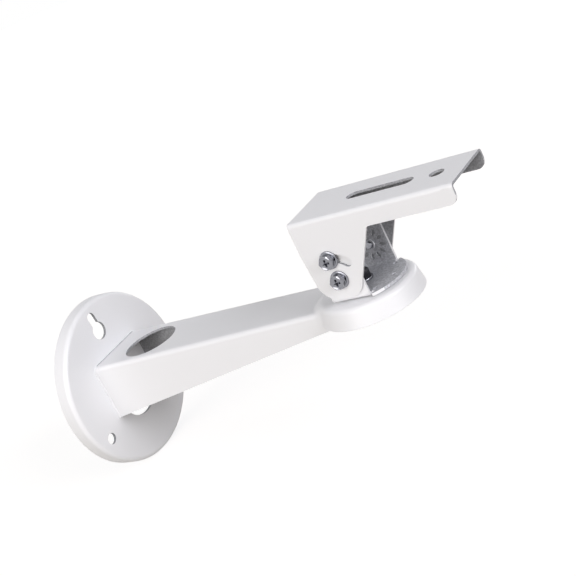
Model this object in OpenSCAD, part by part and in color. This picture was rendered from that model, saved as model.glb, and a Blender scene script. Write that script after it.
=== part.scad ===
// Wall bracket for a small projector: a round wall plate, a tapered folded arm,
// a round head, a swivelling U-bracket and a tilting tray.
// The origin is the centre of the wall plate's back. X runs out from the wall, Z is up.

/* [Wall plate] */
// Diameter of the round wall plate
plate_d = 114.5; // [110:0.5:140]
// How far the plate's front stands off the wall
plate_depth = 10.5; // [8:0.5:16]
// Outer radius of the plate's pressed edge
plate_edge_r = 3; // [2.5:0.5:5]
// Sheet thickness of the plate
plate_t = 2; // [1.2:0.1:2.4]
// Diameter of the circle on which the two lower wall screws lie
screw_circle_d = 93; // [86:1:94]
// Diameter of the two round screw holes
screw_hole_d = 7.5; // [4:0.5:8]
// Distance from the plate's centre to the middle of the keyhole's narrow end
key_r = 48.5; // [44:0.5:49]
// How far the keyhole is turned off the top, toward -Y (degrees)
key_angle = 5.5; // [0:0.5:8]
// Width of the keyhole's narrow end
key_slot_w = 6.6; // [4:0.2:8]
// Diameter of the keyhole's wide end
key_head_d = 12; // [9:0.5:13]
// Distance between the centres of the keyhole's two ends
key_drop = 10.5; // [8:0.5:11]
// Diameter of the cable hole behind the arm
plate_cable_d = 35; // [20:1:38]
// How far the cable hole's centre lies below the plate's centre
plate_cable_drop = 11; // [8:1:14]

/* [Arm] */
// Sheet thickness of the arm
arm_t = 1.5; // [1:0.1:2]
// Outer radius of the arm's folded edges
arm_fold_r = 3; // [2.5:0.5:5]
// Width of the arm at the wall plate
arm_root_w = 50; // [48:1:60]
// Width of the arm, carried on to the head's axis
arm_end_w = 39; // [30:1:44]
// Height of the arm's top above the plate's centre, at the wall plate
arm_top_root = 21; // [18:0.5:26]
// Height of the arm's top, carried on to the head's axis
arm_top_end = 26; // [22:0.5:27]
// How far the arm's lower edge lies below the plate's centre, at the wall plate
arm_bottom_root = 17; // [12:0.5:20]
// Height of the arm's lower edge, carried on to the head's axis
arm_bottom_end = 17; // [12:0.5:19]
// Diameter of the cable hole in the arm's top
arm_cable_d = 36; // [20:1:36]
// How far that cable hole lies off the middle, toward -Y
arm_cable_off = 1.5; // [0:0.5:2]
// Distance from the wall to the centre of that cable hole
arm_cable_x = 45; // [42:1:90]
// Radius of the weld bead along the arm's root
weld_r = 0.8; // [0.6:0.1:1.4]

// Distance from the head's axis to the ends of the arm's sides under the head
arm_under = 14; // [10:1:20]

/* [Head] */
// Distance from the wall to the head's axis
head_x = 215; // [160:1:300]
// Diameter of the round head at its open lower edge
head_d = 65; // [62:0.5:80]
// Angle at which the head's side leans in toward its top (degrees)
head_lean = 11; // [4:0.5:14]
// Height of the head's top face above the plate's centre
head_top = 28.6; // [28.2:0.2:32]
// Depth of the pressed head
head_depth = 12; // [10:0.5:14]
// Outer radius of the head's pressed edge
head_edge_r = 3.5; // [2.5:0.5:4]
// Sheet thickness of the head
head_t = 1.5; // [1.2:0.1:2]

/* [U-bracket] */
// Sheet thickness of the U-bracket
pan_t = 1.8; // [1.2:0.1:2]
// Width of the U-bracket over its ears
pan_w = 41.6; // [40:0.2:48]
// Outer radius of the U-bracket's folds
pan_fold_r = 2.6; // [2.3:0.1:3]
// Distance from the swivel axis to the rear of the base
pan_rear = 11.5; // [10:0.5:14]
// Distance from the swivel axis to the front of the ears, at the base
ear_front = 13.5; // [12:0.5:14]
// Radius of the base's round nose
nose_r = 26; // [24.5:0.5:28]
// Radius of the ears' round tops
ear_top_r = 12.2; // [10:0.2:12.6]
// Distance from the swivel axis to the small holes in the base
base_hole_ring_r = 20.5; // [19:0.5:21]
// Diameter of the small holes in the base
base_hole_d = 3; // [2:0.2:3.6]
// Number of petals pressed round each tilt pivot
petal_count = 12; // [8:1:14]
// Distance from the tilt pivot to the middle of the petals
petal_ring_r = 8.2; // [7.6:0.2:8.6]

/* [Tilt] */
// Height of the tilt pivot above the head's top face
pivot_height = 15.8; // [15.8:0.2:18]
// How far the tilt pivot lies in front of the swivel axis
pivot_x = 1; // [0:0.5:2]
// Distance from the tilt pivot to the lock bolt
lock_r = 12.8; // [12:0.2:14]
// Direction of the lock bolt from the pivot, from the front (degrees)
lock_angle = 95; // [88:1:98]
// How far the tray's front tilts up (degrees)
tilt_up = 50; // [20:1:50]
// How far the tray's front tilts down (degrees)
tilt_down = 8; // [4:1:12]

/* [Tray] */
// Sheet thickness of the tray
tray_t = 1.5; // [1.2:0.1:2]
// Outer radius of the tray's folds
tray_fold_r = 2.5; // [2.2:0.1:3]
// Height of the tray's top face above the tilt pivot
tray_top = 38; // [34:0.5:44]
// Distance from the tilt pivot to the tray's rear edge
tray_rear = 18; // [17:0.5:20]
// Distance from the tilt pivot to the tray's front edge
tray_front = 87; // [84:1:120]
// Depth of the tray's side flanges
flange_depth = 11.4; // [8:0.2:14]
// Radius of the flanges' lower front corners
flange_corner_r = 5; // [3:0.5:6]
// Depth of the tray's ears below the tilt pivot
tray_ear_drop = 12; // [11:0.2:12]
// Width of the long slot and diameter of the front hole
tray_slot_w = 9; // [6:0.5:11]
// Distance from the tilt pivot to the rear end of the long slot
tray_slot_start = 12; // [10:0.5:18]
// Overall length of the long slot
tray_slot_len = 43; // [30:1:46]
// Distance from the tilt pivot to the centre of the front hole
tray_hole_x = 69.5; // [66:0.5:76]

/* [Fasteners] */
// Thread diameter of the tilt bolts
tilt_bolt_d = 5; // [4:0.5:5]
// Width across the flats of the tilt bolts' heads
tilt_hex = 8; // [7:0.1:8.4]
// Height of the tilt bolts' heads
tilt_head_h = 2.8; // [2.4:0.1:4]
// Length of the tilt bolts under the head
tilt_bolt_len = 8; // [7:0.5:10]
// Diameter of the threaded collars on the U-bracket's ears
collar_d = 7; // [6.4:0.2:8]
// Height of the threaded collars
collar_h = 1; // [0.6:0.2:2]
// Diameter of the tilt bolts' flat washers
tilt_washer_d = 11; // [9:0.5:11]
// Thickness of the tilt bolts' flat washers
tilt_washer_t = 0.8; // [0.6:0.1:1.4]
// Diameter of the tilt bolts' spring washers
tilt_spring_d = 8.8; // [8.2:0.1:9]
// Thickness of the tilt bolts' spring washers
tilt_spring_t = 1.2; // [1:0.1:1.6]
// Thread diameter of the swivel bolt
swivel_bolt_d = 6; // [5:0.5:6]
// Diameter of the swivel bolt's round head
swivel_head_d = 10; // [9.5:0.1:11]
// Height of the swivel bolt's round head
swivel_head_h = 5; // [4.5:0.1:6.4]
// Length of the swivel bolt under the head
swivel_bolt_len = 16; // [15:0.5:16]
// Width across the flats of the swivel nut
swivel_nut_hex = 10; // [9:0.1:11]
// Height of the swivel nut
swivel_nut_h = 5; // [4:0.1:5.4]
// Diameter of the swivel bolt's flat washers
swivel_washer_d = 12; // [11:0.5:13]
// Thickness of the swivel bolt's flat washers
swivel_washer_t = 1.2; // [1:0.1:1.6]
// Diameter of the swivel bolt's spring washer
swivel_spring_d = 10.6; // [9.8:0.1:11]
// Thickness of the swivel bolt's spring washer
swivel_spring_t = 1.6; // [1.2:0.1:2]
// Diameter of the spacer that the U-bracket turns on
spacer_d = 16; // [12:0.5:18]
// Thickness of that spacer
spacer_t = 0.6; // [0.4:0.1:1.6]

/* [Clearances] */
// Gap between sheets that slide over each other
slide_gap = 0.3; // [0.2:0.05:0.5]
// Gap all round a bolt in a hole that turns on it
turn_gap = 0.08; // [0.04:0.02:0.1]
// Gap all round a bolt in a hole that doesn't turn on it
hole_gap = 0.25; // [0.1:0.05:0.4]

/* [Hidden] */
$fn = 96;

// Reach of a cutting tool past the sheet that it cuts
cut = 1;
// Reach of a cutting tool that passes through everything
far = 200;
// How far two flat stretches of one sheet run into each other
lap = 1;
// Side of the part that each fastener lies on, along Y
right = -1;
left = 1;

// Arm: its run from the plate's front to the head's axis, its taper and its rise
arm_run = head_x - plate_depth;
arm_yaw = atan((arm_root_w - arm_end_w) / 2 / arm_run);
arm_rise = atan((arm_top_end - arm_top_root) / arm_run);
// Depth to which the arm's sides are folded before their lower edge is cut
arm_fold_depth = arm_top_root + arm_bottom_root + arm_top_end;

// Height of the head's open lower edge
head_bottom = head_top - head_depth;

// Heights of the swivel joint's stack above the head, and below its top sheet
base_bottom = head_top + spacer_t + slide_gap;
base_top = base_bottom + pan_t;
upper_washer_bottom = base_top + slide_gap;
swivel_head_bottom = upper_washer_bottom + swivel_washer_t;
lower_washer_bottom = head_top - head_t - swivel_washer_t;
spring_bottom = lower_washer_bottom - swivel_spring_t;
nut_bottom = spring_bottom - swivel_nut_h;

// Tilt axis and the places of its sheets and bolts across the bracket
pivot_z = head_top + pivot_height;
lock_x = lock_r * cos(lock_angle);
lock_z = lock_r * sin(lock_angle);
tray_w = pan_w + 2 * (slide_gap + tray_t);
washer_y = tray_w / 2 + slide_gap;
spring_y = washer_y + tilt_washer_t;
head_y = spring_y + tilt_spring_t;
// The U-bracket's ear ends round the lock bolt
ear_top_z = lock_z - 2;
// Width of the relief cut beside each fold of the U-bracket, and the sheet left beside the outer small holes
relief_w = 1.3;
base_web = 0.9;
// Width and length of a pressed petal, and its depth
petal_w = 2;
petal_l = 4.4;
petal_depth = 0.5;
// Direction of the first petal (degrees)
petal_angle = 20;

// Tray ear: a big and a small round corner below, both seen from the tilt pivot
ear_rear_r = 12;
ear_rear_x = -4.5;
ear_front_r = 10.2;
ear_front_x = 2.4;
// Height below which the ear's rear edge draws in
ear_taper_z = 18;
// Place where the ear's front edge meets the flange
ear_flange_x = 30;
ear_fillet_r = 3;
// Half the width of the arc slot for the lock bolt
arc_half_w = tilt_bolt_d / 2 + slide_gap;

// Cross recess and hexagon socket of the bolt heads
recess_w = 1.3;
recess_l = 4.6;
recess_depth = 1.5;
socket_flats = 5;
socket_depth = 3;
// Gap of a spring washer and the slant of its cut
spring_gap = 1;
spring_slant = 20;

// How far a straight edge sinks into the round that it runs into, so that the two cross cleanly
sink = 0.01;

// Point where the line from p runs into the circle of radius r round c, on the given side
function touch(p, c, r, side) =
    let (d = p - c, k = r - sink, a = atan2(d[1], d[0]) + side * acos(k / norm(d))) c + k * [cos(a), sin(a)];

// Solid disc with a rounded upper edge, standing on z = 0
module rounded_disc(r, h, edge) {
    rotate_extrude() {
        square([r - edge, h]);
        square([r, h - edge]);
        translate([r - edge, h - edge]) intersection() {
            circle(edge);
            square(edge);
        }
    }
}

// Sheet pressed into a shallow round dish with its open side down
module pressed_dish(d, depth, edge, t) {
    difference() {
        rounded_disc(d / 2, depth, edge);
        translate([0, 0, -cut]) rounded_disc(d / 2 - t, depth - t + cut, edge - t);
    }
}

// Solid disc whose side leans in to a rounded upper edge, standing on z = 0
module leaning_disc(r, h, edge) {
    c = [r - (edge + (h - edge) * sin(head_lean)) / cos(head_lean), h - edge];
    rotate_extrude() {
        polygon([[0, 0], [r, 0], touch([r, 0], c, edge, 1), c, [c[0], h], [0, h]]);
        translate(c) circle(edge);
    }
}

// Quarter of a folded edge, from the sheet along +X to the sheet along -Z
module fold_quarter(r, t) {
    translate([r, -r]) intersection() {
        difference() {
            circle(r);
            circle(r - t);
        }
        translate([-r - cut, 0]) square([r + cut, r + cut]);
    }
}

// Bar with the given section (drawn in Y and Z) that runs along X
module along_x(len) {
    rotate([90, 0, 90]) linear_extrude(len) children();
}

// Plate with the given outline (drawn in X and Z) and thickness, from y = 0 to y = t
module upright(t) {
    translate([0, t, 0]) rotate([90, 0, 0]) linear_extrude(t) children();
}

// Straight slot outline from x = a to x = b with round ends of radius r
module slot_outline(a, b, r) {
    translate([a + r, 0]) circle(r);
    translate([b - r, 0]) circle(r);
    translate([a + r, -r]) square([b - a - 2 * r, 2 * r]);
}

// Keyhole along +X with its wide end toward the origin
module keyhole() {
    translate([key_r, 0]) circle(d = key_slot_w);
    translate([key_r - key_drop, -key_slot_w / 2]) square([key_drop, key_slot_w]);
    translate([key_r - key_drop, 0]) circle(d = key_head_d);
}

// Holes in the plate, drawn with the plate's top toward +X
module plate_holes() {
    for (a = [-120, 120])
        rotate(a) translate([screw_circle_d / 2, 0]) circle(d = screw_hole_d);
    rotate(key_angle) keyhole();
    translate([-plate_cable_drop, 0]) circle(d = plate_cable_d);
}

module wall_plate() {
    color("whitesmoke")
    rotate([0, 90, 0]) rotate(180) difference() {
        pressed_dish(plate_d, plate_depth, plate_edge_r, plate_t);
        translate([0, 0, plate_depth - plate_t - cut]) linear_extrude(plate_t + 2 * cut) plate_holes();
    }
}

// One side of the arm and half of its top, in the arm's own slope
module arm_half() {
    start = -20;
    side_len = arm_run - start;
    translate([0, -arm_root_w / 2, 0]) rotate(arm_yaw) translate([start, 0, 0]) along_x(side_len) {
        fold_quarter(arm_fold_r, arm_t);
        translate([arm_fold_r, -arm_t]) square([arm_root_w / 2 - arm_fold_r + lap, arm_t]);
        translate([0, -arm_fold_depth]) square([arm_t, arm_fold_depth - arm_fold_r]);
    }
}

// Side view of the arm: cut square at the plate, and sloping below on to the head's axis
module arm_side_view() {
    polygon([
        [plate_depth, -arm_bottom_root], [head_x, arm_bottom_end],
        [head_x, far / 2], [plate_depth, far / 2]
    ]);
}

// Half of the round bead along the arm's root
module root_weld_half() {
    top_y = -arm_root_w / 2 + arm_fold_r;
    side_h = arm_top_root + arm_bottom_root - arm_fold_r;
    translate([plate_depth, -arm_root_w / 2, -arm_bottom_root]) cylinder(h = side_h, r = weld_r);
    translate([plate_depth, top_y, arm_top_root]) rotate([-90, 0, 0]) cylinder(h = -top_y, r = weld_r);
    translate([plate_depth, top_y, arm_top_root - arm_fold_r]) rotate([0, 90, 0]) rotate(180)
        rotate_extrude(angle = 90) translate([arm_fold_r, 0]) circle(weld_r);
}

module arm() {
    color("whitesmoke")
    difference() {
        union() {
            intersection() {
                translate([plate_depth, 0, arm_top_root]) rotate([0, -arm_rise, 0]) {
                    arm_half();
                    mirror([0, 1, 0]) arm_half();
                }
                translate([0, -far / 2, 0]) upright(far) arm_side_view();
            }
            intersection() {
                union() {
                    root_weld_half();
                    mirror([0, 1, 0]) root_weld_half();
                }
                translate([plate_depth, -far / 2, -far / 2]) cube(far);
            }
        }
        // The arm meets the head's side, and its own sides run on for a little below the head
        translate([head_x, 0, head_bottom])
            cylinder(h = head_depth, r1 = head_d / 2, r2 = head_d / 2 - head_depth * tan(head_lean));
        translate([head_x - arm_under, -far / 2, head_bottom + cut - far]) cube(far);
        translate([arm_cable_x, -arm_cable_off, 0]) cylinder(h = far, d = arm_cable_d);
    }
}

module head_cap() {
    color("whitesmoke")
    translate([head_x, 0, head_bottom]) difference() {
        leaning_disc(head_d / 2, head_depth, head_edge_r);
        translate([0, 0, -cut])
            leaning_disc(head_d / 2 - head_t, head_depth - head_t + cut, head_edge_r - head_t);
        cylinder(h = head_depth + cut, d = swivel_bolt_d + 2 * hole_gap);
    }
}

// Outline of the U-bracket's flat base
module base_outline() {
    flat_y = pan_w / 2 - pan_fold_r;
    hole_angle = asin((flat_y - relief_w - base_web - base_hole_d / 2) / base_hole_ring_r);
    difference() {
        intersection() {
            circle(nose_r);
            translate([-pan_rear, -pan_w / 2]) square([far, pan_w]);
        }
        for (side = [-1, 1]) {
            // The ears take the edges up to here, and a relief cut ends each fold
            translate([-far, side * (flat_y + far / 2) - far / 2]) square([far + ear_front, far]);
            translate([ear_front + relief_w / 2, side * (flat_y - relief_w / 2)]) circle(d = relief_w);
            translate([ear_front, side * (flat_y - relief_w / 2 + far / 2) - far / 2]) square([relief_w, far]);
        }
        circle(d = swivel_bolt_d + 2 * turn_gap);
        for (a = [-hole_angle, 0, hole_angle])
            rotate(a) translate([base_hole_ring_r, 0]) circle(d = base_hole_d);
    }
}

// Outline of one ear above its fold, seen from the tilt pivot
module ear_outline() {
    foot = base_bottom + pan_fold_r - pivot_z;
    top = [0, ear_top_z];
    rear_foot = [-pan_rear - pivot_x, foot];
    front_foot = [ear_front - pivot_x, foot];
    rear = touch(rear_foot, top, ear_top_r, -1);
    front = touch(front_foot, top, ear_top_r, 1);
    polygon([rear_foot, front_foot, front, top, rear]);
    translate(top) circle(ear_top_r);
}

// Petal with pointed ends along X, as the overlap of two circles
module petal() {
    r = (petal_l * petal_l / 4 + petal_w * petal_w / 4) / petal_w;
    intersection() {
        translate([0, r - petal_w / 2]) circle(r);
        translate([0, petal_w / 2 - r]) circle(r);
    }
}

module petal_ring() {
    for (i = [0 : petal_count - 1])
        rotate(petal_angle + i * 360 / petal_count) translate([petal_ring_r, 0]) petal();
}

// Places the children at the tilt pivot and at the lock bolt
module at_tilt_bolts() {
    children();
    translate([lock_x, lock_z]) children();
}

module u_bracket_side() {
    translate([0, -pan_w / 2, 0]) {
        translate([pivot_x, 0, pivot_z]) difference() {
            union() {
                upright(pan_t) ear_outline();
                upright(pan_t + collar_h) at_tilt_bolts() circle(d = collar_d);
            }
            translate([0, pan_t - petal_depth, 0]) upright(petal_depth + cut) petal_ring();
            translate([0, -cut, 0]) upright(pan_t + collar_h + 2 * cut) at_tilt_bolts() circle(d = tilt_bolt_d);
        }
        translate([-pan_rear, 0, base_bottom]) along_x(pan_rear + ear_front) mirror([0, 1]) {
            fold_quarter(pan_fold_r, pan_t);
            translate([pan_fold_r, -pan_t]) square([lap, pan_t]);
        }
    }
}

module u_bracket() {
    color("gainsboro")
    translate([head_x, 0, 0]) {
        translate([0, 0, base_bottom]) linear_extrude(pan_t) base_outline();
        u_bracket_side();
        mirror([0, 1, 0]) u_bracket_side();
    }
}

// Arc slot round the tilt pivot that the lock bolt runs in
module arc_slot() {
    first = lock_angle - tilt_up;
    last = lock_angle + tilt_down;
    for (a = [first, last])
        rotate(a) translate([lock_r, 0]) circle(arc_half_w + sink);
    intersection() {
        difference() {
            circle(lock_r + arc_half_w);
            circle(lock_r - arc_half_w);
        }
        polygon([[0, 0], far * [cos(first), sin(first)], far * [cos(last), sin(last)]]);
    }
}

// Fillet between the ear's front edge, which comes up from p, and the flange
module ear_fillet(p) {
    corner = [ear_flange_x, tray_top - flange_depth];
    edge = (p - corner) / norm(p - corner);
    half = acos(edge[0]) / 2;
    reach = ear_fillet_r / tan(half);
    centre = corner + ear_fillet_r / sin(half) * [cos(half), -sin(half)];
    difference() {
        polygon([corner + [0, cut], corner + [reach, cut], corner + [reach, 0], centre, corner + reach * edge]);
        translate(centre) circle(ear_fillet_r + sink);
    }
}

// Side of the tray below its fold: the flange and the ear in one sheet
module tray_side_outline() {
    fold_z = tray_top - tray_fold_r;
    flange_z = tray_top - flange_depth;
    rear_c = [ear_rear_x, ear_rear_r - tray_ear_drop];
    front_c = [ear_front_x, ear_front_r - tray_ear_drop];
    rear_p = [-tray_rear, ear_taper_z];
    front_p = [ear_flange_x, flange_z];
    front_touch = touch(front_p, front_c, ear_front_r, -1);
    corner = [tray_front - flange_corner_r, flange_z + flange_corner_r];
    difference() {
        union() {
            polygon([
                [-tray_rear, fold_z], rear_p, touch(rear_p, rear_c, ear_rear_r, 1),
                rear_c - [0, ear_rear_r - sink], front_c - [0, ear_front_r - sink], front_touch, front_p,
                [corner[0], flange_z], corner, [tray_front, corner[1]], [tray_front, fold_z]
            ]);
            translate(rear_c) circle(ear_rear_r);
            translate(front_c) circle(ear_front_r);
            translate(corner) circle(flange_corner_r);
            ear_fillet(front_touch);
        }
        circle(d = tilt_bolt_d + 2 * turn_gap);
        arc_slot();
    }
}

module tray_side() {
    translate([0, -tray_w / 2, 0]) {
        upright(tray_t) tray_side_outline();
        translate([-tray_rear, 0, tray_top]) along_x(tray_rear + tray_front) {
            fold_quarter(tray_fold_r, tray_t);
            translate([tray_fold_r, -tray_t]) square([lap, tray_t]);
        }
    }
}

module tray() {
    flat_w = tray_w - 2 * tray_fold_r;
    slot_r = tray_slot_w / 2;
    color("gainsboro")
    translate([head_x + pivot_x, 0, pivot_z]) {
        translate([0, 0, tray_top - tray_t]) linear_extrude(tray_t) difference() {
            translate([-tray_rear, -flat_w / 2]) square([tray_rear + tray_front, flat_w]);
            slot_outline(tray_slot_start, tray_slot_start + tray_slot_len, slot_r);
            translate([tray_hole_x, 0]) circle(slot_r);
        }
        tray_side();
        mirror([0, 1, 0]) tray_side();
    }
}

module flat_washer(d, bore, t) {
    difference() {
        cylinder(h = t, d = d);
        translate([0, 0, -cut]) cylinder(h = t + 2 * cut, d = bore);
    }
}

// Split ring with a slanted cut
module spring_washer(d, bore, t) {
    difference() {
        flat_washer(d, bore, t);
        translate([d / 2, 0, t / 2]) rotate([spring_slant, 0, 0]) cube([d, spring_gap, 4 * t], center = true);
    }
}

module hex_nut(flats, bore, h) {
    difference() {
        cylinder(h = h, d = flats / cos(30), $fn = 6);
        translate([0, 0, -cut]) cylinder(h = h + 2 * cut, d = bore);
    }
}

// Hexagon bolt with a cross recess, its head's seat at z = 0 and its shank below
module hex_bolt() {
    translate([0, 0, -tilt_bolt_len]) cylinder(h = tilt_bolt_len, d = tilt_bolt_d);
    difference() {
        intersection() {
            cylinder(h = tilt_head_h, d = tilt_hex / cos(30), $fn = 6);
            cylinder(h = tilt_head_h, d1 = tilt_hex + 2 * tilt_head_h + 4, d2 = tilt_hex);
        }
        for (a = [0, 90])
            rotate(a) translate([-recess_l / 2, -recess_w / 2, tilt_head_h - recess_depth])
                cube([recess_l, recess_w, recess_depth + cut]);
    }
}

// Round-headed bolt with a hexagon socket, its head's seat at z = 0
module socket_bolt() {
    translate([0, 0, -swivel_bolt_len]) cylinder(h = swivel_bolt_len, d = swivel_bolt_d);
    difference() {
        cylinder(h = swivel_head_h, d = swivel_head_d);
        translate([0, 0, swivel_head_h - socket_depth])
            cylinder(h = socket_depth + cut, d = socket_flats / cos(30), $fn = 6);
    }
}

module swivel_bolt() {
    color("dimgray") translate([head_x, 0, swivel_head_bottom]) socket_bolt();
}

module swivel_upper_washer() {
    color("silver") translate([head_x, 0, upper_washer_bottom])
        flat_washer(swivel_washer_d, swivel_bolt_d + 2 * hole_gap, swivel_washer_t);
}

module swivel_spacer() {
    color("silver") translate([head_x, 0, head_top])
        flat_washer(spacer_d, swivel_bolt_d + 2 * hole_gap, spacer_t);
}

module swivel_lower_washer() {
    color("silver") translate([head_x, 0, lower_washer_bottom])
        flat_washer(swivel_washer_d, swivel_bolt_d + 2 * hole_gap, swivel_washer_t);
}

module swivel_spring_washer() {
    color("silver") translate([head_x, 0, spring_bottom])
        spring_washer(swivel_spring_d, swivel_bolt_d + 2 * hole_gap, swivel_spring_t);
}

module swivel_nut() {
    color("silver") translate([head_x, 0, nut_bottom])
        hex_nut(swivel_nut_hex, swivel_bolt_d, swivel_nut_h);
}

// Puts a fastener on one side of the bracket, at (x, z) from the tilt pivot, with its outer
// end along z of the child and the seat of the child at distance y from the middle
module on_side(side, x, z, y) {
    translate([head_x + pivot_x + x, side * y, pivot_z + z]) rotate([-side * 90, 0, 0]) children();
}

module tilt_bolt(side, x, z) {
    color("silver") on_side(side, x, z, head_y) hex_bolt();
}

module tilt_spring_washer(side, x, z) {
    color("silver") on_side(side, x, z, spring_y)
        spring_washer(tilt_spring_d, tilt_bolt_d + 2 * hole_gap, tilt_spring_t);
}

module tilt_flat_washer(side, x, z) {
    color("silver") on_side(side, x, z, washer_y)
        flat_washer(tilt_washer_d, tilt_bolt_d + 2 * hole_gap, tilt_washer_t);
}

wall_plate();
arm();
head_cap();
u_bracket();
tray();
swivel_bolt();
swivel_upper_washer();
swivel_spacer();
swivel_lower_washer();
swivel_spring_washer();
swivel_nut();
tilt_bolt(right, 0, 0);  // pivot_bolt_right
tilt_spring_washer(right, 0, 0);  // pivot_spring_washer_right
tilt_flat_washer(right, 0, 0);  // pivot_flat_washer_right
tilt_bolt(right, lock_x, lock_z);  // lock_bolt_right
tilt_spring_washer(right, lock_x, lock_z);  // lock_spring_washer_right
tilt_flat_washer(right, lock_x, lock_z);  // lock_flat_washer_right
tilt_bolt(left, 0, 0);  // pivot_bolt_left
tilt_spring_washer(left, 0, 0);  // pivot_spring_washer_left
tilt_flat_washer(left, 0, 0);  // pivot_flat_washer_left
tilt_bolt(left, lock_x, lock_z);  // lock_bolt_left
tilt_spring_washer(left, lock_x, lock_z);  // lock_spring_washer_left
tilt_flat_washer(left, lock_x, lock_z);  // lock_flat_washer_left
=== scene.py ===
"""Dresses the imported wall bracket: softened sheet edges, coat, welds and real fasteners."""
import math

import bmesh
import bpy
from bpy.props import FloatProperty, FloatVectorProperty, IntProperty, PointerProperty
from mathutils import Matrix, Vector


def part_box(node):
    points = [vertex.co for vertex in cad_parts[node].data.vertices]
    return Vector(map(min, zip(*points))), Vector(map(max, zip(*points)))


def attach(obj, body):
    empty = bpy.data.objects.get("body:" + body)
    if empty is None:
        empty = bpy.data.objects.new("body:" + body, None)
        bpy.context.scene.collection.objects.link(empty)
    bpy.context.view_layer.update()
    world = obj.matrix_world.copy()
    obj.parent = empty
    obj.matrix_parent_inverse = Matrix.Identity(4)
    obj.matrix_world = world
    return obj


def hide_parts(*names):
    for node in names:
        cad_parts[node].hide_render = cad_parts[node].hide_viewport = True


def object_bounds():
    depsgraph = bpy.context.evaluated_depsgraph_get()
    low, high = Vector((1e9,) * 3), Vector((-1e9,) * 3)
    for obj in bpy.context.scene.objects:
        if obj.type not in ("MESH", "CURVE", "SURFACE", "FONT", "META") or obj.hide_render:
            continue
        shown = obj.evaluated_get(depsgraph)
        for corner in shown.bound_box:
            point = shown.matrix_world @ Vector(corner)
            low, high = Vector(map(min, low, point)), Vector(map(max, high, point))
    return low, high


bl_info = {
    "name": "Projector wall bracket",
    "version": (1, 0, 0),
    "blender": (4, 5, 0),
    "location": "View3D > Sidebar > Wall bracket",
    "description": "Dresses the packed wall bracket in powder coat and fits its fasteners",
    "category": "Object",
}

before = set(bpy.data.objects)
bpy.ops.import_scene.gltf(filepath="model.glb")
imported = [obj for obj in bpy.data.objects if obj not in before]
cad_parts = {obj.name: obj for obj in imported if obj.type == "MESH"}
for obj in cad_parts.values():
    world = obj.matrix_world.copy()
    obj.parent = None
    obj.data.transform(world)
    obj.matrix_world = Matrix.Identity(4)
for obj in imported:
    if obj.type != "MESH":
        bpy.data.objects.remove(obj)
cad_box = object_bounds()

MM = 0.001
SHEETS = ("wall_plate", "arm", "head_cap", "u_bracket", "tray")
SIDES = {"right": -1, "left": 1}
STEEL_SLOT, COAT_SLOT, BLACK_SLOT = "zinc_steel", "powder_coat", "black_oxide"
# Slots of the darker greys painted as shade on inside faces, hole edges and petals
SHADE_SLOT, BRACKET_SHADE_SLOT = "inside_coat", "bracket_inside_coat"
# Darkest and lightest specks of the painted-shade grey, as shares of its colour
THIN_FILM, THICK_FILM = 0.8, 1.17
ARM_BODY, BRACKET_BODY, TRAY_BODY = "wall_arm", "swivel_bracket", "tilting_tray"
SHEET_BODY = {"u_bracket": BRACKET_BODY, "tray": TRAY_BODY}

# The arm's outer skin: place, half width and height of its top at the plate and at the head's axis
ARM_ROOT, ARM_END = Vector((10.5, 25, 21)) * MM, Vector((215, 19.5, 26)) * MM
ARM_FOLD = 3 * MM
# The head's rounded edge, and the angle in degrees at which its side leans in
HEAD_EDGE, HEAD_LEAN = 3.5 * MM, 11
# Steps of the seam: up the arm's side, round its fold, over half its top, and across
SEAM_RISE, SEAM_FOLD, SEAM_TOP, SEAM_ACROSS = 6, 6, 8, 8

# How squarely a face looks into its part's hollow to count as inside and take the painted shade
INWARD = 0.3
# Edges of holes: how far their faces may lean from the sheet's own, and their depth below it
ALONG_SHEET, HOLE_DEPTH = 0.6, 2.5 * MM
# Arc slot for the lock bolt: radius of its middle about the pivot, and half its width with a margin
SLOT_ARC, SLOT_HALF = 12.8 * MM, 3.1 * MM
# The petals' floors lie nearer to the outer face than this, within this reach of the pivot
PETAL_FLOOR, PETAL_REACH = 1.75 * MM, 11.5 * MM

# Hardware, in millimetres: threads, the cross recess, the dish and the split of the spring washers
TILT_BOLT_D, SWIVEL_BOLT_D = 5, 6
RECESS_WIDE, RECESS_LONG, RECESS_DEEP = 1.3, 4.6, 1.5
DISH, KNURL_DEPTH, SOCKET_DEPTH = 0.3, 0.35, 0.5
SPRING_GAP, SPRING_SLANT = 1, 20
# Circle at which a hexagon's chamfer starts, as a share of its width over the flats
CHAMFER_CIRCLE = 0.95
TURN_STEPS, KNURL_STEPS = 48, 6


def linear(hex_colour):
    """sRGB hex colour as linear red, green and blue."""
    def channel(v):
        return v / 12.92 if v <= 0.04045 else ((v + 0.055) / 1.055) ** 2.4
    return tuple(channel(int(hex_colour[i:i + 2], 16) / 255) for i in (1, 3, 5))


class BracketFinish(bpy.types.PropertyGroup):
    coat_colour: FloatVectorProperty(
        name="Coat", description="Colour of the powder coat", subtype="COLOR",
        size=3, min=0, max=1, default=linear("#EDEDEF"))
    # Painted shade: the darker greys for the inside faces, hole edges and petals
    inside_shade_colour: FloatVectorProperty(
        name="Inside", description="Colour of the starved coat on the inside faces", subtype="COLOR",
        size=3, min=0, max=1, default=linear("#A2A3A7"))
    bracket_shade_colour: FloatVectorProperty(
        name="Inside the U-bracket", description="Colour of the thin coat inside the U-bracket", subtype="COLOR",
        size=3, min=0, max=1, default=linear("#C0C1C6"))
    zinc_colour: FloatVectorProperty(
        name="Zinc", description="Colour of the zinc-plated fasteners", subtype="COLOR",
        size=3, min=0, max=1, default=linear("#8E8F95"))
    oxide_colour: FloatVectorProperty(
        name="Black oxide", description="Colour of the swivel bolt", subtype="COLOR",
        size=3, min=0, max=1, default=linear("#444448"))
    peel_size: FloatProperty(
        name="Peel size", description="Width of one swell of the coat's orange peel",
        unit="LENGTH", default=1.6 * MM, min=0.5 * MM, max=5 * MM)
    peel_depth: FloatProperty(
        name="Peel depth", description="Height of the coat's orange peel",
        unit="LENGTH", default=0.012 * MM, min=0, max=0.1 * MM)


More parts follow.
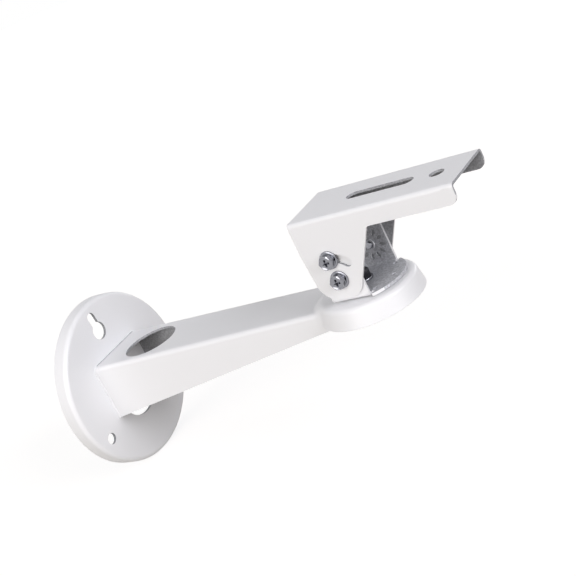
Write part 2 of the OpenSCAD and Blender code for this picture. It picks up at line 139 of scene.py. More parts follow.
class BracketDetail(bpy.types.PropertyGroup):
    edge_round: FloatProperty(
        name="Edge round", description="Width of the rounding on the cut edges of the sheets",
        unit="LENGTH", default=0.3 * MM, min=0.05 * MM, max=0.6 * MM)
    seam_reach: FloatProperty(
        name="Seam reach", description="How far the smoothed weld runs on to the arm and on to the head",
        unit="LENGTH", default=4.8 * MM, min=1 * MM, max=5 * MM)
    tilt_pitch: FloatProperty(
        name="Tilt bolt pitch", description="Thread pitch of the tilt bolts",
        unit="LENGTH", default=0.8 * MM, min=0.5 * MM, max=1 * MM)
    swivel_pitch: FloatProperty(
        name="Swivel bolt pitch", description="Thread pitch of the swivel bolt",
        unit="LENGTH", default=1 * MM, min=0.5 * MM, max=1.25 * MM)
    knurls: IntProperty(
        name="Knurls", description="Number of ridges round the swivel bolt's head",
        default=26, min=12, max=60)


class BracketStage(bpy.types.PropertyGroup):
    floor_drop: FloatProperty(
        name="Floor drop", description="How far the floor lies below the bracket",
        unit="LENGTH", default=0, min=0, max=1)
    key_light: FloatProperty(
        name="Key light", description="Strength of the broad lamp high on the near side", default=1.2, min=0, max=10)
    front_light: FloatProperty(
        name="Front light", description="Strength of the broad lamp in front of the plate", default=1.75,
        min=0, max=10)
    low_light: FloatProperty(
        name="Low light", description="Strength of the broad lamp low on the near side", default=0.85, min=0, max=10)
    back_light: FloatProperty(
        name="Back light", description="Strength of the broad lamp on the far side", default=0.6, min=0, max=10)
    room_light: FloatProperty(
        name="Room light", description="Light that the pale room throws on the bracket", default=0.26, min=0, max=2)


def ensure_linked(obj):
    bpy.context.scene.collection.objects.link(obj)
    return obj


def add_node(tree, kind, links=None, **settings):
    """Adds a node, sets its fields and sockets, and joins its inputs to other sockets."""
    node = tree.nodes.new(kind)
    for name, value in settings.items():
        if hasattr(node, name):
            setattr(node, name, value)
        else:
            node.inputs[name.replace("_", " ").capitalize()].default_value = value
    for name, socket in (links or {}).items():
        tree.links.new(socket, node.inputs[name])
    return node


def shader_base(name, colour, metallic, roughness):
    """New material with its colour and gloss set on the shader, and object coordinates for its pattern."""
    mat = bpy.data.materials.new(name)
    mat.use_nodes = True
    tree = mat.node_tree
    shader = tree.nodes["Principled BSDF"]
    shader.inputs["Base Color"].default_value = (*colour, 1)
    shader.inputs["Metallic"].default_value = metallic
    shader.inputs["Roughness"].default_value = roughness
    coords = add_node(tree, "ShaderNodeTexCoord")
    return mat, tree, shader, coords.outputs["Object"]


def powder_coat(finish):
    """White polyester powder, sprayed on the steel and baked.

    The melt levels into a soft gloss with a shallow orange peel, so highlights are broad and
    faintly uneven.
    """
    mat, tree, shader, place = shader_base("White powder coat, sprayed and baked", finish.coat_colour, 0, 0.36)
    peel = add_node(tree, "ShaderNodeTexNoise", {"Vector": place}, Scale=1 / finish.peel_size, Detail=2)
    bump = add_node(tree, "ShaderNodeBump", {"Height": peel.outputs["Fac"]},
                    Distance=finish.peel_depth, Strength=1.0)
    tree.links.new(bump.outputs["Normal"], shader.inputs["Normal"])
    # Film thickness varies over about 40 mm and takes the gloss with it
    film = add_node(tree, "ShaderNodeTexNoise", {"Vector": place}, Scale=1 / (40 * MM), Detail=3)
    gloss = add_node(tree, "ShaderNodeMapRange", {"Value": film.outputs["Fac"]})
    gloss.inputs["To Min"].default_value = 0.3
    gloss.inputs["To Max"].default_value = 0.42
    tree.links.new(gloss.outputs["Result"], shader.inputs["Roughness"])
    return mat


def painted_shade_coat(name, colour):
    """The same powder, painted a darker grey as shade inside folds, hollows and hole edges.

    It is dull, and speckled lighter and darker with a fine bump.
    """
    mat, tree, shader, place = shader_base(name, colour, 0, 0.6)
    specks = add_node(tree, "ShaderNodeTexNoise", {"Vector": place}, Scale=1 / (1.1 * MM), Detail=3)
    cover = add_node(tree, "ShaderNodeMapRange", {"Value": specks.outputs["Fac"]})
    cover.inputs["From Min"].default_value = 0.38
    cover.inputs["From Max"].default_value = 0.62
    tone = add_node(tree, "ShaderNodeMix", {"Factor": cover.outputs["Result"]}, data_type="RGBA")
    tone.inputs["A"].default_value = (*[v * THIN_FILM for v in colour], 1)
    tone.inputs["B"].default_value = (*[v * THICK_FILM for v in colour], 1)
    tree.links.new(tone.outputs["Result"], shader.inputs["Base Color"])
    bump = add_node(tree, "ShaderNodeBump", {"Height": specks.outputs["Fac"]}, Distance=0.02 * MM, Strength=1.0)
    tree.links.new(bump.outputs["Normal"], shader.inputs["Normal"])
    return mat


def zinc_steel(finish):
    """Cold-headed steel with bright zinc plating.

    The plating is a mirror that small dents and drawing marks blur a little, so it shows the
    room in hard bands of light and dark.
    """
    mat, tree, shader, place = shader_base("Zinc-plated steel, cold headed", finish.zinc_colour, 1, 0.2)
    marks = add_node(tree, "ShaderNodeTexNoise", {"Vector": place}, Scale=1 / (0.9 * MM), Detail=4)
    gloss = add_node(tree, "ShaderNodeMapRange", {"Value": marks.outputs["Fac"]})
    gloss.inputs["To Min"].default_value = 0.06
    gloss.inputs["To Max"].default_value = 0.2
    tree.links.new(gloss.outputs["Result"], shader.inputs["Roughness"])
    bump = add_node(tree, "ShaderNodeBump", {"Height": marks.outputs["Fac"]}, Distance=0.01 * MM, Strength=1.0)
    tree.links.new(bump.outputs["Normal"], shader.inputs["Normal"])
    return mat


def black_oxide(finish):
    """Hardened steel, blackened in a hot bath and oiled.

    The oxide is thin, so the metal stays glossy but nearly black.
    """
    mat, tree, shader, place = shader_base("Black oxide steel, oiled", finish.oxide_colour, 1, 0.3)
    grain = add_node(tree, "ShaderNodeTexNoise", {"Vector": place}, Scale=1 / (0.5 * MM), Detail=3)
    gloss = add_node(tree, "ShaderNodeMapRange", {"Value": grain.outputs["Fac"]})
    gloss.inputs["To Min"].default_value = 0.22
    gloss.inputs["To Max"].default_value = 0.4
    tree.links.new(gloss.outputs["Result"], shader.inputs["Roughness"])
    return mat


# Painted shade for the inside faces and hole edges, and for the U-bracket's petals
def inside_coat(finish):
    return painted_shade_coat("Powder coat with painted shade, inside faces", finish.inside_shade_colour)


# Lighter painted shade for the inside faces and hole edges of the U-bracket
def bracket_inside_coat(finish):
    return painted_shade_coat("Powder coat with painted shade, inside the U-bracket", finish.bracket_shade_colour)


MAKERS = {COAT_SLOT: powder_coat, SHADE_SLOT: inside_coat, BRACKET_SHADE_SLOT: bracket_inside_coat,
          STEEL_SLOT: zinc_steel, BLACK_SLOT: black_oxide}


def material(slot_name):
    """The material of a slot of the record, made on first use."""
    key = "bracket_" + slot_name
    made = bpy.context.scene.get(key)
    if made:
        return bpy.data.materials[made]
    mat = MAKERS[slot_name](bpy.context.scene.bracket_finish)
    bpy.context.scene[key] = mat.name
    return mat


def dress(obj, slot_name):
    obj.data.materials.clear()
    obj.data.materials.append(material(slot_name))


def apply_modifiers(obj):
    bpy.context.view_layer.update()
    graph = bpy.context.evaluated_depsgraph_get()
    mesh = bpy.data.meshes.new_from_object(obj.evaluated_get(graph))
    obj.modifiers.clear()
    obj.data = mesh


def softened_sheet(node, width):
    """Copy of a sheet part whose cut edges are rounded as paint and tumbling leave them."""
    obj = ensure_linked(bpy.data.objects.new(node + "_sheet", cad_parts[node].data.copy()))
    bm = bmesh.new()
    bm.from_mesh(obj.data)
    bmesh.ops.remove_doubles(bm, verts=bm.verts, dist=0.002 * MM)
    bmesh.ops.dissolve_limit(bm, angle_limit=math.radians(0.3), verts=bm.verts, edges=bm.edges)
    for face in bm.faces:
        face.smooth = True
    bm.to_mesh(obj.data)
    bm.free()
    stored = obj.data.attributes.get("custom_normal")
    if stored:
        obj.data.attributes.remove(stored)
    bevel = obj.modifiers.new("cut edges", "BEVEL")
    bevel.width = width
    bevel.segments = 2
    bevel.limit_method = "ANGLE"
    bevel.angle_limit = math.radians(40)
    bevel.harden_normals = True
    bevel.use_clamp_overlap = True
    apply_modifiers(obj)
    return obj


def hollow_core(node, low, high, place):
    """The point in the middle of a sheet part's hollow that lies nearest to a place on its sheet."""
    core = (low + high) / 2
    if node == "head_cap":
        core.z = low.z
        return core
    core.x = place.x
    if node == "arm":
        core.z = low.z * 0.6
    if node == "u_bracket":
        core.z = high.z
    return core


def in_hole(node, low, high, pivot, face):
    """Whether a face is the edge of a hole or slot, which takes the painted shade."""
    place, normal = face.center, face.normal
    if node == "wall_plate":
        return abs(normal.x) < ALONG_SHEET and place.yz.length < 0.9 * high.y
    if node == "tray" and abs(normal.y) < ALONG_SHEET:
        reach = (place - pivot).xz
        if abs(reach.length - SLOT_ARC) < SLOT_HALF and reach.y > 0.5 * reach.length:
            return True
    if abs(normal.z) > ALONG_SHEET:
        return False
    if node == "tray":
        return abs(place.y) < 0.3 * high.y and place.z > high.z - HOLE_DEPTH
    if node == "arm":
        return abs(place.y) < 0.75 * high.y and place.z > 0.6 * high.z and place.x < 0.4 * high.x
    return node == "u_bracket" and abs(place.y) < 0.75 * high.y and place.z < low.z + HOLE_DEPTH


def paint_inside_shade(obj, node):
    """Paints shade on the edges of the holes and on the faces that look into the part's hollow, as a darker grey
    coat.

    The plate's hollow is shallow and wide open, so it keeps the white coat; only its hole edges take the shade.
    """
    # The painted-shade greys go in the second and third slots
    obj.data.materials.append(material(BRACKET_SHADE_SLOT if node == "u_bracket" else SHADE_SLOT))
    obj.data.materials.append(material(SHADE_SLOT))
    low, high = (Vector(v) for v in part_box(node))
    pivot = middle("pivot_bolt_right")
    for face in obj.data.polygons:
        inward = (hollow_core(node, low, high, face.center) - face.center).normalized()
        if in_hole(node, low, high, pivot, face) or node != "wall_plate" and face.normal.dot(inward) > INWARD:
            face.material_index = 1
            # The pressed petals take a darker painted shade than the sheet round them, to show their recess
            petal = abs(face.center.y) > high.y - PETAL_FLOOR and (face.center - pivot).xz.length < PETAL_REACH
            if node == "u_bracket" and petal:
                face.material_index = 2


class BRACKET_OT_sheets(bpy.types.Operator):
    """Rounds the cut edges of the pressed and folded sheets, coats them, and paints shade on their inside faces and
    hole edges
    """
    bl_idname = "bracket.sheets"
    bl_label = "Sheets"

    def execute(self, context):
        for node in SHEETS:
            obj = softened_sheet(node, context.scene.bracket_detail.edge_round)
            dress(obj, COAT_SLOT)
            paint_inside_shade(obj, node)
            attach(obj, SHEET_BODY.get(node, ARM_BODY))
            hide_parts(node)
        return {"FINISHED"}


def arm_outline(x, foot):
    """Points and normals of the arm's outer skin at a place along it, from side to side over the top."""
    share = (x - ARM_ROOT.x) / (ARM_END.x - ARM_ROOT.x)
    half, top = ARM_ROOT.yz.lerp(ARM_END.yz, share)
    points = []
    for i in range(SEAM_RISE):
        z = foot + (top - ARM_FOLD - foot) * i / SEAM_RISE
        points.append((Vector((x, -half, z)), Vector((0, -1, 0))))
    for i in range(SEAM_FOLD + 1):
        a = math.pi / 2 * i / SEAM_FOLD
        normal = Vector((0, -math.cos(a), math.sin(a)))
        points.append((Vector((x, ARM_FOLD - half, top - ARM_FOLD)) + ARM_FOLD * normal, normal))
    for i in range(1, SEAM_TOP):
        y = (half - ARM_FOLD) * (i / SEAM_TOP - 1)
        points.append((Vector((x, y, top)), Vector((0, 0, 1))))
    mirrored = [(Vector((p.x, -p.y, p.z)), Vector((0, -n.y, n.z))) for p, n in reversed(points)]
    return points + [(Vector((x, 0, top)), Vector((0, 0, 1)))] + mirrored


def head_skin(turn, run, head):
    """Point on the head's side and rounded edge, at an angle about its axis and a run up from its rim."""
    axis, radius, foot, top = head
    lean = math.radians(HEAD_LEAN)
    core_r = radius - (HEAD_EDGE + (top - foot - HEAD_EDGE) * math.sin(lean)) / math.cos(lean)
    straight = (top - foot - HEAD_EDGE + HEAD_EDGE * math.sin(lean)) / math.cos(lean)
    if run < straight:
        r, z = radius - run * math.sin(lean), foot + run * math.cos(lean)
    else:
        a = min(lean + (run - straight) / HEAD_EDGE, math.pi / 2)
        r, z = core_r + HEAD_EDGE * math.cos(a), top - HEAD_EDGE + HEAD_EDGE * math.sin(a)
    return Vector((axis.x - r * math.cos(turn), axis.y + r * math.sin(turn), z))


def head_place(point, head):
    """The angle and run of the head's skin at a point's height, and how far the point stands off it."""
    axis = head[0]
    low, high = 0, 2 * (head[3] - head[2])
    for _ in range(40):
        mid = (low + high) / 2
        if head_skin(0, mid, head).z < point.z:
            low = mid
        else:
            high = mid
    flat = (point - axis).xy
    return math.atan2(flat.y, -flat.x), low, flat.length - (head_skin(0, low, head) - axis).xy.length


def seam_rows(reach, head):
    """Rows of points across the smoothed weld, one for each point of the arm's outline."""
    def arm_point(index, x):
        return arm_outline(x, head[2])[index]
    rows = []
    for index in range(len(arm_outline(ARM_END.x, head[2]))):
        near, far_x = ARM_ROOT.x, ARM_END.x
        for _ in range(40):
            x = (near + far_x) / 2
            if head_place(arm_point(index, x)[0], head)[2] > 0:
                near = x
            else:
                far_x = x
        seam, normal = arm_point(index, near)
        turn, run, _ = head_place(seam, head)
        radius = (seam - head[0]).xy.length
        arm_end = arm_point(index, near - reach)[0]
        def on_head(s):
            return head_skin(turn + s * normal.y / radius, run + s * normal.z, head)
        head_end = on_head(reach)
        into_arm = (seam - arm_end).normalized()
        into_head = (on_head(reach + MM) - head_end).normalized()
        handles = (arm_end, arm_end + into_arm * reach * 0.7, head_end - into_head * reach * 0.7, head_end)
        row = []
        for i in range(SEAM_ACROSS + 1):
            u = i / SEAM_ACROSS
            weights = ((1 - u) ** 3, 3 * u * (1 - u) ** 2, 3 * u * u * (1 - u), u ** 3)
            row.append(sum((w * h for w, h in zip(weights, handles)), Vector()))
        inside = seam - 0.6 * MM * normal + Vector((0.6 * MM, 0, 0))
        rows.append(row + [inside])
    return rows


class BRACKET_OT_seam(bpy.types.Operator):
    """Makes the weld between arm and head, ground to a smooth hollow before coating"""
    bl_idname = "bracket.seam"
    bl_label = "Seam"

    def execute(self, context):
        low, high = (Vector(v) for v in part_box("head_cap"))
        head = (Vector(((low.x + high.x) / 2, 0, 0)), (high.y - low.y) / 2, low.z, high.z)
        bm = bmesh.new()
        skin(bm, seam_rows(context.scene.bracket_detail.seam_reach, head))
        bmesh.ops.holes_fill(bm, edges=[e for e in bm.edges if e.is_boundary])
        bmesh.ops.recalc_face_normals(bm, faces=bm.faces)
        mesh = bpy.data.meshes.new("arm_head_seam")
        bm.to_mesh(mesh)
        bm.free()
        for face in mesh.polygons:
            face.use_smooth = True
        mesh.set_sharp_from_angle(angle=math.radians(40))
        seam = ensure_linked(bpy.data.objects.new("arm_head_seam", mesh))
        dress(seam, COAT_SLOT)
        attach(seam, ARM_BODY)
        return {"FINISHED"}


# Small hardware is shaped in millimetres, along +Z from its bearing face at z = 0

def skin(bm, rings):
    """Joins rings of points into one skin; a ring of one point closes an end."""
    rows = [[bm.verts.new(point) for point in ring] for ring in rings]
    for low, high in zip(rows, rows[1:]):
        count = max(len(low), len(high))
        for i in range(count):
            j = i + 1
            corners = (low[i % len(low)], low[j % len(low)], high[j % len(high)], high[i % len(high)])
            bm.faces.new(list(dict.fromkeys(corners)))


def turned(bm, profile, steps=TURN_STEPS):
    """Skin of (radius, height) pairs round the axis; either may be a function of the angle."""
    def at(value, angle):
        return value(angle) if callable(value) else value
    angles = [2 * math.pi * i / steps for i in range(steps)]
    rings = []
    for radius, height in profile:
        if radius == 0:
            rings.append([(0, 0, height)])
        else:
            rings.append([(at(radius, a) * math.cos(a), at(radius, a) * math.sin(a), at(height, a)) for a in angles])
    skin(bm, rings)


def hexagon(flats):
    """Radius of a hexagon at an angle, with a corner on the X axis."""
    return lambda angle: flats / 2 / math.cos(angle % (math.pi / 3) - math.pi / 6)


def chamfer_drop(flats):
    """How far the 30 degree chamfer of a hexagon's end lowers its edge at an angle."""
    side = hexagon(flats)
    return lambda angle: (side(angle) - CHAMFER_CIRCLE * flats / 2) * math.tan(math.radians(30))


def add_thread(bm, major, pitch, length):
    """Closed threaded rod from z = 0 down, with a chamfered free end."""
    root = major / 2 - 0.61 * pitch
    rows = ((0, root), (0.2, root), (0.5, major / 2), (0.7, major / 2))
    rod = bmesh.new()
    lines = []
    for turn in range(-1, math.ceil(length / pitch) + 1):
        for offset, radius in rows:
            line = []
            for i in range(TURN_STEPS + 1):
                angle = 2 * math.pi * i / TURN_STEPS
                z = -(turn + offset + i / TURN_STEPS) * pitch
                r = min(radius, max(root - 0.3, root + length + z))
                line.append(rod.verts.new((r * math.cos(angle), r * math.sin(angle), z)))
            lines.append(line)
    for upper, lower in zip(lines, lines[1:]):
        for i in range(TURN_STEPS):
            rod.faces.new((upper[i], upper[i + 1], lower[i + 1], lower[i]))
    bmesh.ops.remove_doubles(rod, verts=rod.verts, dist=1e-4)
    for z, side in ((0, 1), (-length, -1)):
        bmesh.ops.bisect_plane(rod, geom=rod.verts[:] + rod.edges[:] + rod.faces[:], dist=1e-5,
                               plane_co=(0, 0, z), plane_no=(0, 0, side), clear_outer=True)
    bmesh.ops.holes_fill(rod, edges=[e for e in rod.edges if e.is_boundary])
    mesh = bpy.data.meshes.new("rod")
    rod.to_mesh(mesh)
    rod.free()
    bm.from_mesh(mesh)
    bpy.data.meshes.remove(mesh)


def flat_washer(outer, bore, thick):
    """Punched washer: its edge is rounded on the side that the punch came from."""
    bm = bmesh.new()
    a, b = 0.1, 0.25
    ring = ((bore / 2, a), (bore / 2 + a, 0), (outer / 2 - a, 0), (outer / 2, a), (outer / 2, thick - b),
            (outer / 2 - b / 3, thick - b / 3), (outer / 2 - b, thick), (bore / 2 + a, thick),
            (bore / 2, thick - a), (bore / 2, a))
    turned(bm, ring)
    return bm


def spring_washer(outer, bore, thick):
    """Split ring of square wire with rounded edges and a slanted cut."""
    bm = bmesh.new()
    e = 0.2
    section = ((bore / 2, e), (bore / 2 + e, 0), (outer / 2 - e, 0), (outer / 2, e), (outer / 2, thick - e),
               (outer / 2 - e, thick), (bore / 2 + e, thick), (bore / 2, thick - e))
    mid = (outer + bore) / 4
    rows = []
    for i in range(TURN_STEPS + 1):
        gap = SPRING_GAP / mid
        along = gap / 2 + (2 * math.pi - gap) * i / TURN_STEPS
        row = []
        for r, z in section:
            angle = along + (z - thick / 2) * math.tan(math.radians(SPRING_SLANT)) / mid
            row.append(bm.verts.new((r * math.cos(angle), r * math.sin(angle), z)))
        rows.append(row)
    for one, two in zip(rows, rows[1:]):
        for i in range(len(section)):
            j = (i + 1) % len(section)
            bm.faces.new((one[i], one[j], two[j], two[i]))
    bm.faces.new(rows[0])
    bm.faces.new(rows[-1])
    return bm


def hex_nut(flats, bore, high):
    """Nut with both ends chamfered and a countersunk bore."""
    bm = bmesh.new()
    side, drop = hexagon(flats), chamfer_drop(flats)
    flat_r, sink = CHAMFER_CIRCLE * flats / 2, 0.5
    ring = ((bore / 2, sink), (bore / 2 + sink, 0), (flat_r, 0), (side, drop), (side, lambda a: high - drop(a)),
            (flat_r, high), (bore / 2 + sink, high), (bore / 2, high - sink), (bore / 2, sink))
    turned(bm, ring)
    return bm


def cross_cutter(top, wide, long, deep):
    """Tapered cross that presses a driver's recess into a head."""
    bm = bmesh.new()
    def outline(half_w, half_l, z):
        quarter = ((half_w, half_l), (half_w, half_w), (half_l, half_w))
        points = []
        for turn in range(4):
            c, s = (1, 0, -1, 0)[turn], (0, 1, 0, -1)[turn]
            points += [(c * x + s * y, c * y - s * x, z) for x, y in quarter]
        return points
    skin(bm, [outline(wide / 2 * 1.15, long / 2 * 1.1, top + 0.2), outline(wide / 2, long / 2, top - 0.1),
              outline(wide / 4, long / 4, top - deep), [(0, 0, top - deep - 0.3)]])
    bmesh.ops.holes_fill(bm, edges=[e for e in bm.edges if e.is_boundary])
    return bm


def hex_bolt(flats, high, major, pitch, length):
    """Cold-headed bolt: chamfered hexagon with a dished top."""
    bm = bmesh.new()
    side, drop = hexagon(flats), chamfer_drop(flats)
    flat_r = CHAMFER_CIRCLE * flats / 2
    turned(bm, ((0, 0), (flat_r, 0), (side, 0.15), (side, lambda a: high - drop(a)), (flat_r, high),
                (flat_r - 0.35, high - 0.08), (flat_r - 0.8, high - DISH), (0, high - DISH)))
    add_thread(bm, major, pitch, length)
    return bm


def socket_bolt(wide, high, major, pitch, length, knurls):
    """Cap screw: knurled head with a hexagon socket."""
    bm = bmesh.new()
    socket = hexagon(0.8 * major)
    def knurled(angle):
        return wide / 2 - KNURL_DEPTH * (0.5 - 0.5 * math.cos(knurls * angle))
    edge = 0.5
    turned(bm, ((0, 0), (wide / 2 - 0.4, 0), (wide / 2 - KNURL_DEPTH, 0.25), (knurled, 0.5),
                (knurled, high - edge - 0.25), (wide / 2 - KNURL_DEPTH, high - edge), (wide / 2 - edge, high - 0.12),
                (wide / 2 - edge - 0.3, high), (lambda a: socket(a) + 0.25, high), (socket, high - 0.25),
                (socket, high - SOCKET_DEPTH * high), (0, high - SOCKET_DEPTH * high - 0.6)), steps=KNURL_STEPS * knurls)
    add_thread(bm, major, pitch, length)
    return bm


def hardware(bm, node, foot, turn, cutter=None):
    """Finishes a small piece, seats it on its CAD node and lets it stand for that node."""
    bmesh.ops.remove_doubles(bm, verts=bm.verts, dist=1e-4)
    bmesh.ops.recalc_face_normals(bm, faces=bm.faces)
    mesh = bpy.data.meshes.new(node + "_steel")
    bm.to_mesh(mesh)
    bm.free()
    obj = ensure_linked(bpy.data.objects.new(node + "_steel", mesh))
    if cutter:
        bmesh.ops.recalc_face_normals(cutter, faces=cutter.faces)
        tool_mesh = bpy.data.meshes.new("cutter")
        cutter.to_mesh(tool_mesh)
        cutter.free()
        tool = ensure_linked(bpy.data.objects.new("cutter", tool_mesh))
        cut = obj.modifiers.new("recess", "BOOLEAN")
        cut.object, cut.operation, cut.solver = tool, "DIFFERENCE", "EXACT"
        apply_modifiers(obj)
        bpy.data.objects.remove(tool)
    obj.data.transform(Matrix.Translation(foot) @ turn @ Matrix.Scale(MM, 4))
    for face in obj.data.polygons:
        face.use_smooth = True
    obj.data.set_sharp_from_angle(angle=math.radians(32))
    dress(obj, BLACK_SLOT if node == "swivel_bolt" else STEEL_SLOT)
    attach(obj, ARM_BODY if node.startswith("swivel") else BRACKET_BODY)
    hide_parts(node)


def width(node, axis):
    low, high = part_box(node)
    return (high[axis] - low[axis]) / MM


def across_flats(node, first, second):
    """Width across the flats, which is the smaller of a hexagon's two widths."""
    return min(width(node, first), width(node, second))


def middle(node):
    low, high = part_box(node)
    return (Vector(low) + Vector(high)) / 2


class BRACKET_OT_tilt_bolts(bpy.types.Operator):
    """Makes the hexagon bolts with cross recess and their washers on both sides of the tray"""
    bl_idname = "bracket.tilt_bolts"
    bl_label = "Tilt bolts"

    def execute(self, context):
        detail = context.scene.bracket_detail
        for place in ("pivot", "lock"):
            for name, side in SIDES.items():
                # The outer face of each piece, seen along Y, is its high side on the left
                turn = Matrix.Rotation(math.radians(-90 * side), 4, "X")
                end = 0 if side > 0 else 1
                flat, spring, bolt = (f"{place}_{kind}_{name}" for kind in ("flat_washer", "spring_washer", "bolt"))
                centre = middle(spring)
                bore = TILT_BOLT_D + 0.4
                for node, shape in ((flat, flat_washer), (spring, spring_washer)):
                    foot = Vector((centre.x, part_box(node)[end][1], centre.z))
                    hardware(shape(width(node, 0), bore, width(node, 1)), node, foot, turn)
                seat_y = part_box(spring)[1 - end][1]
                outer_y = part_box(bolt)[1 - end][1]
                high = abs(outer_y - seat_y) / MM
                bm = hex_bolt(across_flats(bolt, 0, 2), high, TILT_BOLT_D, detail.tilt_pitch / MM,
                              width(bolt, 1) - high)
                cutter = cross_cutter(high - DISH, RECESS_WIDE, RECESS_LONG, RECESS_DEEP)
                hardware(bm, bolt, Vector((centre.x, seat_y, centre.z)), turn, cutter)
        return {"FINISHED"}


class BRACKET_OT_swivel_bolt(bpy.types.Operator):
    """Makes the black cap screw that the U-bracket turns on, with its washers, spacer and nut"""
    bl_idname = "bracket.swivel_bolt"
    bl_label = "Swivel bolt"

    def execute(self, context):
        detail = context.scene.bracket_detail
        flat = Matrix.Identity(4)
        axis = middle("swivel_bolt")
        bore = SWIVEL_BOLT_D + 0.4
        for node in ("swivel_upper_washer", "swivel_spacer", "swivel_lower_washer", "swivel_spring_washer"):
            shape = spring_washer if "spring" in node else flat_washer
            foot = Vector((axis.x, axis.y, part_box(node)[0][2]))
            hardware(shape(width(node, 0), bore, width(node, 2)), node, foot, flat)
        node = "swivel_nut"
        foot = Vector((axis.x, axis.y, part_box(node)[0][2]))
        hardware(hex_nut(across_flats(node, 0, 1), SWIVEL_BOLT_D, width(node, 2)), node, foot, flat)
        node = "swivel_bolt"
        seat_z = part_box("swivel_upper_washer")[1][2]
        high = (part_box(node)[1][2] - seat_z) / MM
        bm = socket_bolt(width(node, 0), high, SWIVEL_BOLT_D, detail.swivel_pitch / MM, width(node, 2) - high,
                         detail.knurls)
        hardware(bm, node, Vector((axis.x, axis.y, seat_z)), flat)
        return {"FINISHED"}


# Camera at the photograph's angle: direction in degrees, roll, distance, aim and focal length
# in widths of the picture
VIEW_AZIMUTH, VIEW_ELEVATION, VIEW_ROLL = 37.47, 18.38, -26.14
VIEW_DISTANCE, FOCAL_WIDTHS = 0.80473, 1304.6 / 576
VIEW_CENTRE, VIEW_RIGHT, VIEW_UP = (0.11, 0, 0.03), 0.03977, 0.01509
SENSOR = 36


def picture_axes():
    """Right, up and back of the camera."""
    a, e, t = (math.radians(v) for v in (VIEW_AZIMUTH, VIEW_ELEVATION, VIEW_ROLL))
    back = Vector((math.sin(a) * math.cos(e), -math.cos(a) * math.cos(e), math.sin(e)))
    level = Vector((math.cos(a), math.sin(a), 0))
    upright = back.cross(level)
    right = math.cos(t) * level + math.sin(t) * upright
    return right, back.cross(right), back


def add_camera():
    right, up, back = picture_axes()
    data = bpy.data.cameras.new("camera")
    data.sensor_width = SENSOR
    data.sensor_fit = "HORIZONTAL"
    data.lens = SENSOR * FOCAL_WIDTHS
    camera = ensure_linked(bpy.data.objects.new("camera", data))
    aim = Vector(VIEW_CENTRE) + VIEW_RIGHT * right + VIEW_UP * up
    place = aim + VIEW_DISTANCE * back
    camera.matrix_world = Matrix.Translation(place) @ Matrix((right, up, back)).transposed().to_4x4()
    data.clip_start, data.clip_end = 0.01, 50
    bpy.context.scene.camera = camera


def seen_directly(tree):
    """1 where the camera, a reflection or glass looks straight at it, and 0 for its light."""
    path = add_node(tree, "ShaderNodeLightPath")
    either = add_node(tree, "ShaderNodeMath", {0: path.outputs["Is Camera Ray"], 1: path.outputs["Is Glossy Ray"]},
                      operation="MAXIMUM")
    return add_node(tree, "ShaderNodeMath", {0: either.outputs[0], 1: path.outputs["Is Transmission Ray"]},
                    operation="MAXIMUM").outputs[0]


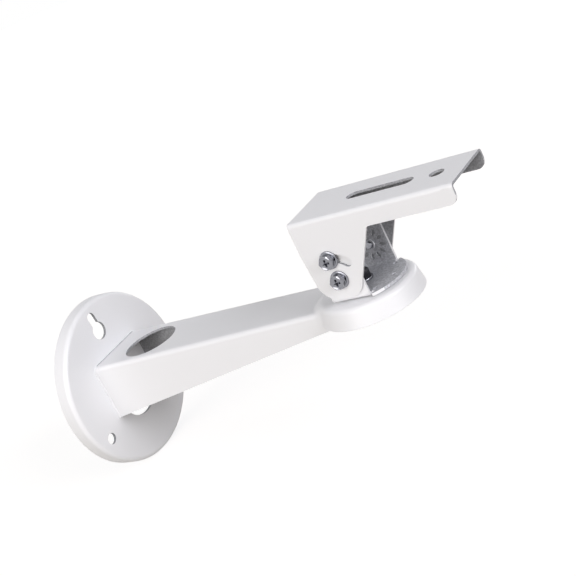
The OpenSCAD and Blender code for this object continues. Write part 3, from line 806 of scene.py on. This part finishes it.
class BRACKET_OT_stage(bpy.types.Operator):
    """Sets up the floor, the pale room, the lamps and the camera"""
    bl_idname = "bracket.stage"
    bl_label = "Stage"

    def execute(self, context):
        stage = context.scene.bracket_stage
        world = bpy.data.worlds.new("pale room")
        world.use_nodes = True
        tree = world.node_tree
        room = tree.nodes["Background"]
        room.inputs["Color"].default_value = (*linear("#F6F6FC"), 1)
        room.inputs["Strength"].default_value = stage.room_light
        white = add_node(tree, "ShaderNodeBackground", Color=(1, 1, 1, 1), Strength=1.0)
        mix = add_node(tree, "ShaderNodeMixShader", {0: seen_directly(tree), 1: room.outputs[0], 2: white.outputs[0]})
        tree.links.new(mix.outputs[0], tree.nodes["World Output"].inputs["Surface"])
        context.scene.world = world
        self.add_floor(stage)
        self.add_lamp("key_lamp", stage.key_light, (0.1, -0.88, 0.4), "#FFFDFB")
        self.add_lamp("front_lamp", stage.front_light, (0.9, -0.2, 0.38), "#FBFBFF")
        self.add_lamp("low_lamp", stage.low_light, (-0.2, -0.9, 0.2), "#FFFCF9")
        self.add_lamp("back_lamp", stage.back_light, (0.1, 0.95, 0.02), "#FFFFFF")
        add_camera()
        context.scene.view_settings.view_transform = "Standard"
        return {"FINISHED"}

    def add_floor(self, stage):
        low, high = cad_box
        z = low[2] - stage.floor_drop
        reach = 4
        mesh = bpy.data.meshes.new("floor")
        mesh.from_pydata([(-reach, -reach, z), (reach, -reach, z), (reach, reach, z), (-reach, reach, z)],
                         [], [(0, 1, 2, 3)])
        floor = ensure_linked(bpy.data.objects.new("floor", mesh))
        mat, tree, shader, place = shader_base("Pale matt floor", linear("#968F84"), 0, 0.9)
        glow = add_node(tree, "ShaderNodeEmission", {"Strength": seen_directly(tree)}, Color=(0.8, 0.81, 0.83, 1))
        both = add_node(tree, "ShaderNodeAddShader", {0: shader.outputs[0], 1: glow.outputs[0]})
        tree.links.new(both.outputs[0], tree.nodes["Material Output"].inputs["Surface"])
        mesh.materials.append(mat)

    def add_lamp(self, name, strength, toward, colour):
        """Broad lamp far away in the given direction."""
        data = bpy.data.lights.new(name, "SUN")
        data.energy = strength
        data.color = linear(colour)
        data.angle = math.radians(35)
        lamp = ensure_linked(bpy.data.objects.new(name, data))
        lamp.matrix_world = Vector(toward).to_track_quat("Z", "Y").to_matrix().to_4x4()


class BRACKET_PT_panel(bpy.types.Panel):
    bl_idname = "BRACKET_PT_panel"
    bl_label = "Wall bracket"
    bl_space_type = "VIEW_3D"
    bl_region_type = "UI"
    bl_category = "Wall bracket"

    def draw(self, context):
        for group in (context.scene.bracket_finish, context.scene.bracket_detail, context.scene.bracket_stage):
            column = self.layout.column()
            for name in group.__annotations__:
                column.prop(group, name)
        for operator in OPERATORS:
            self.layout.operator(operator.bl_idname)


OPERATORS = (BRACKET_OT_sheets, BRACKET_OT_seam, BRACKET_OT_tilt_bolts, BRACKET_OT_swivel_bolt, BRACKET_OT_stage)
GROUPS = {"bracket_finish": BracketFinish, "bracket_detail": BracketDetail, "bracket_stage": BracketStage}
CLASSES = (*GROUPS.values(), *OPERATORS, BRACKET_PT_panel)


def register():
    for cls in CLASSES:
        bpy.utils.register_class(cls)
    for name, group in GROUPS.items():
        setattr(bpy.types.Scene, name, PointerProperty(type=group))


def unregister():
    for name in GROUPS:
        delattr(bpy.types.Scene, name)
    for cls in reversed(CLASSES):
        bpy.utils.unregister_class(cls)


def main():
    register()
    bpy.ops.bracket.sheets()
    bpy.ops.bracket.seam()
    bpy.ops.bracket.tilt_bolts()
    bpy.ops.bracket.swivel_bolt()
    bpy.ops.bracket.stage()


if __name__ == "__main__":
    main()
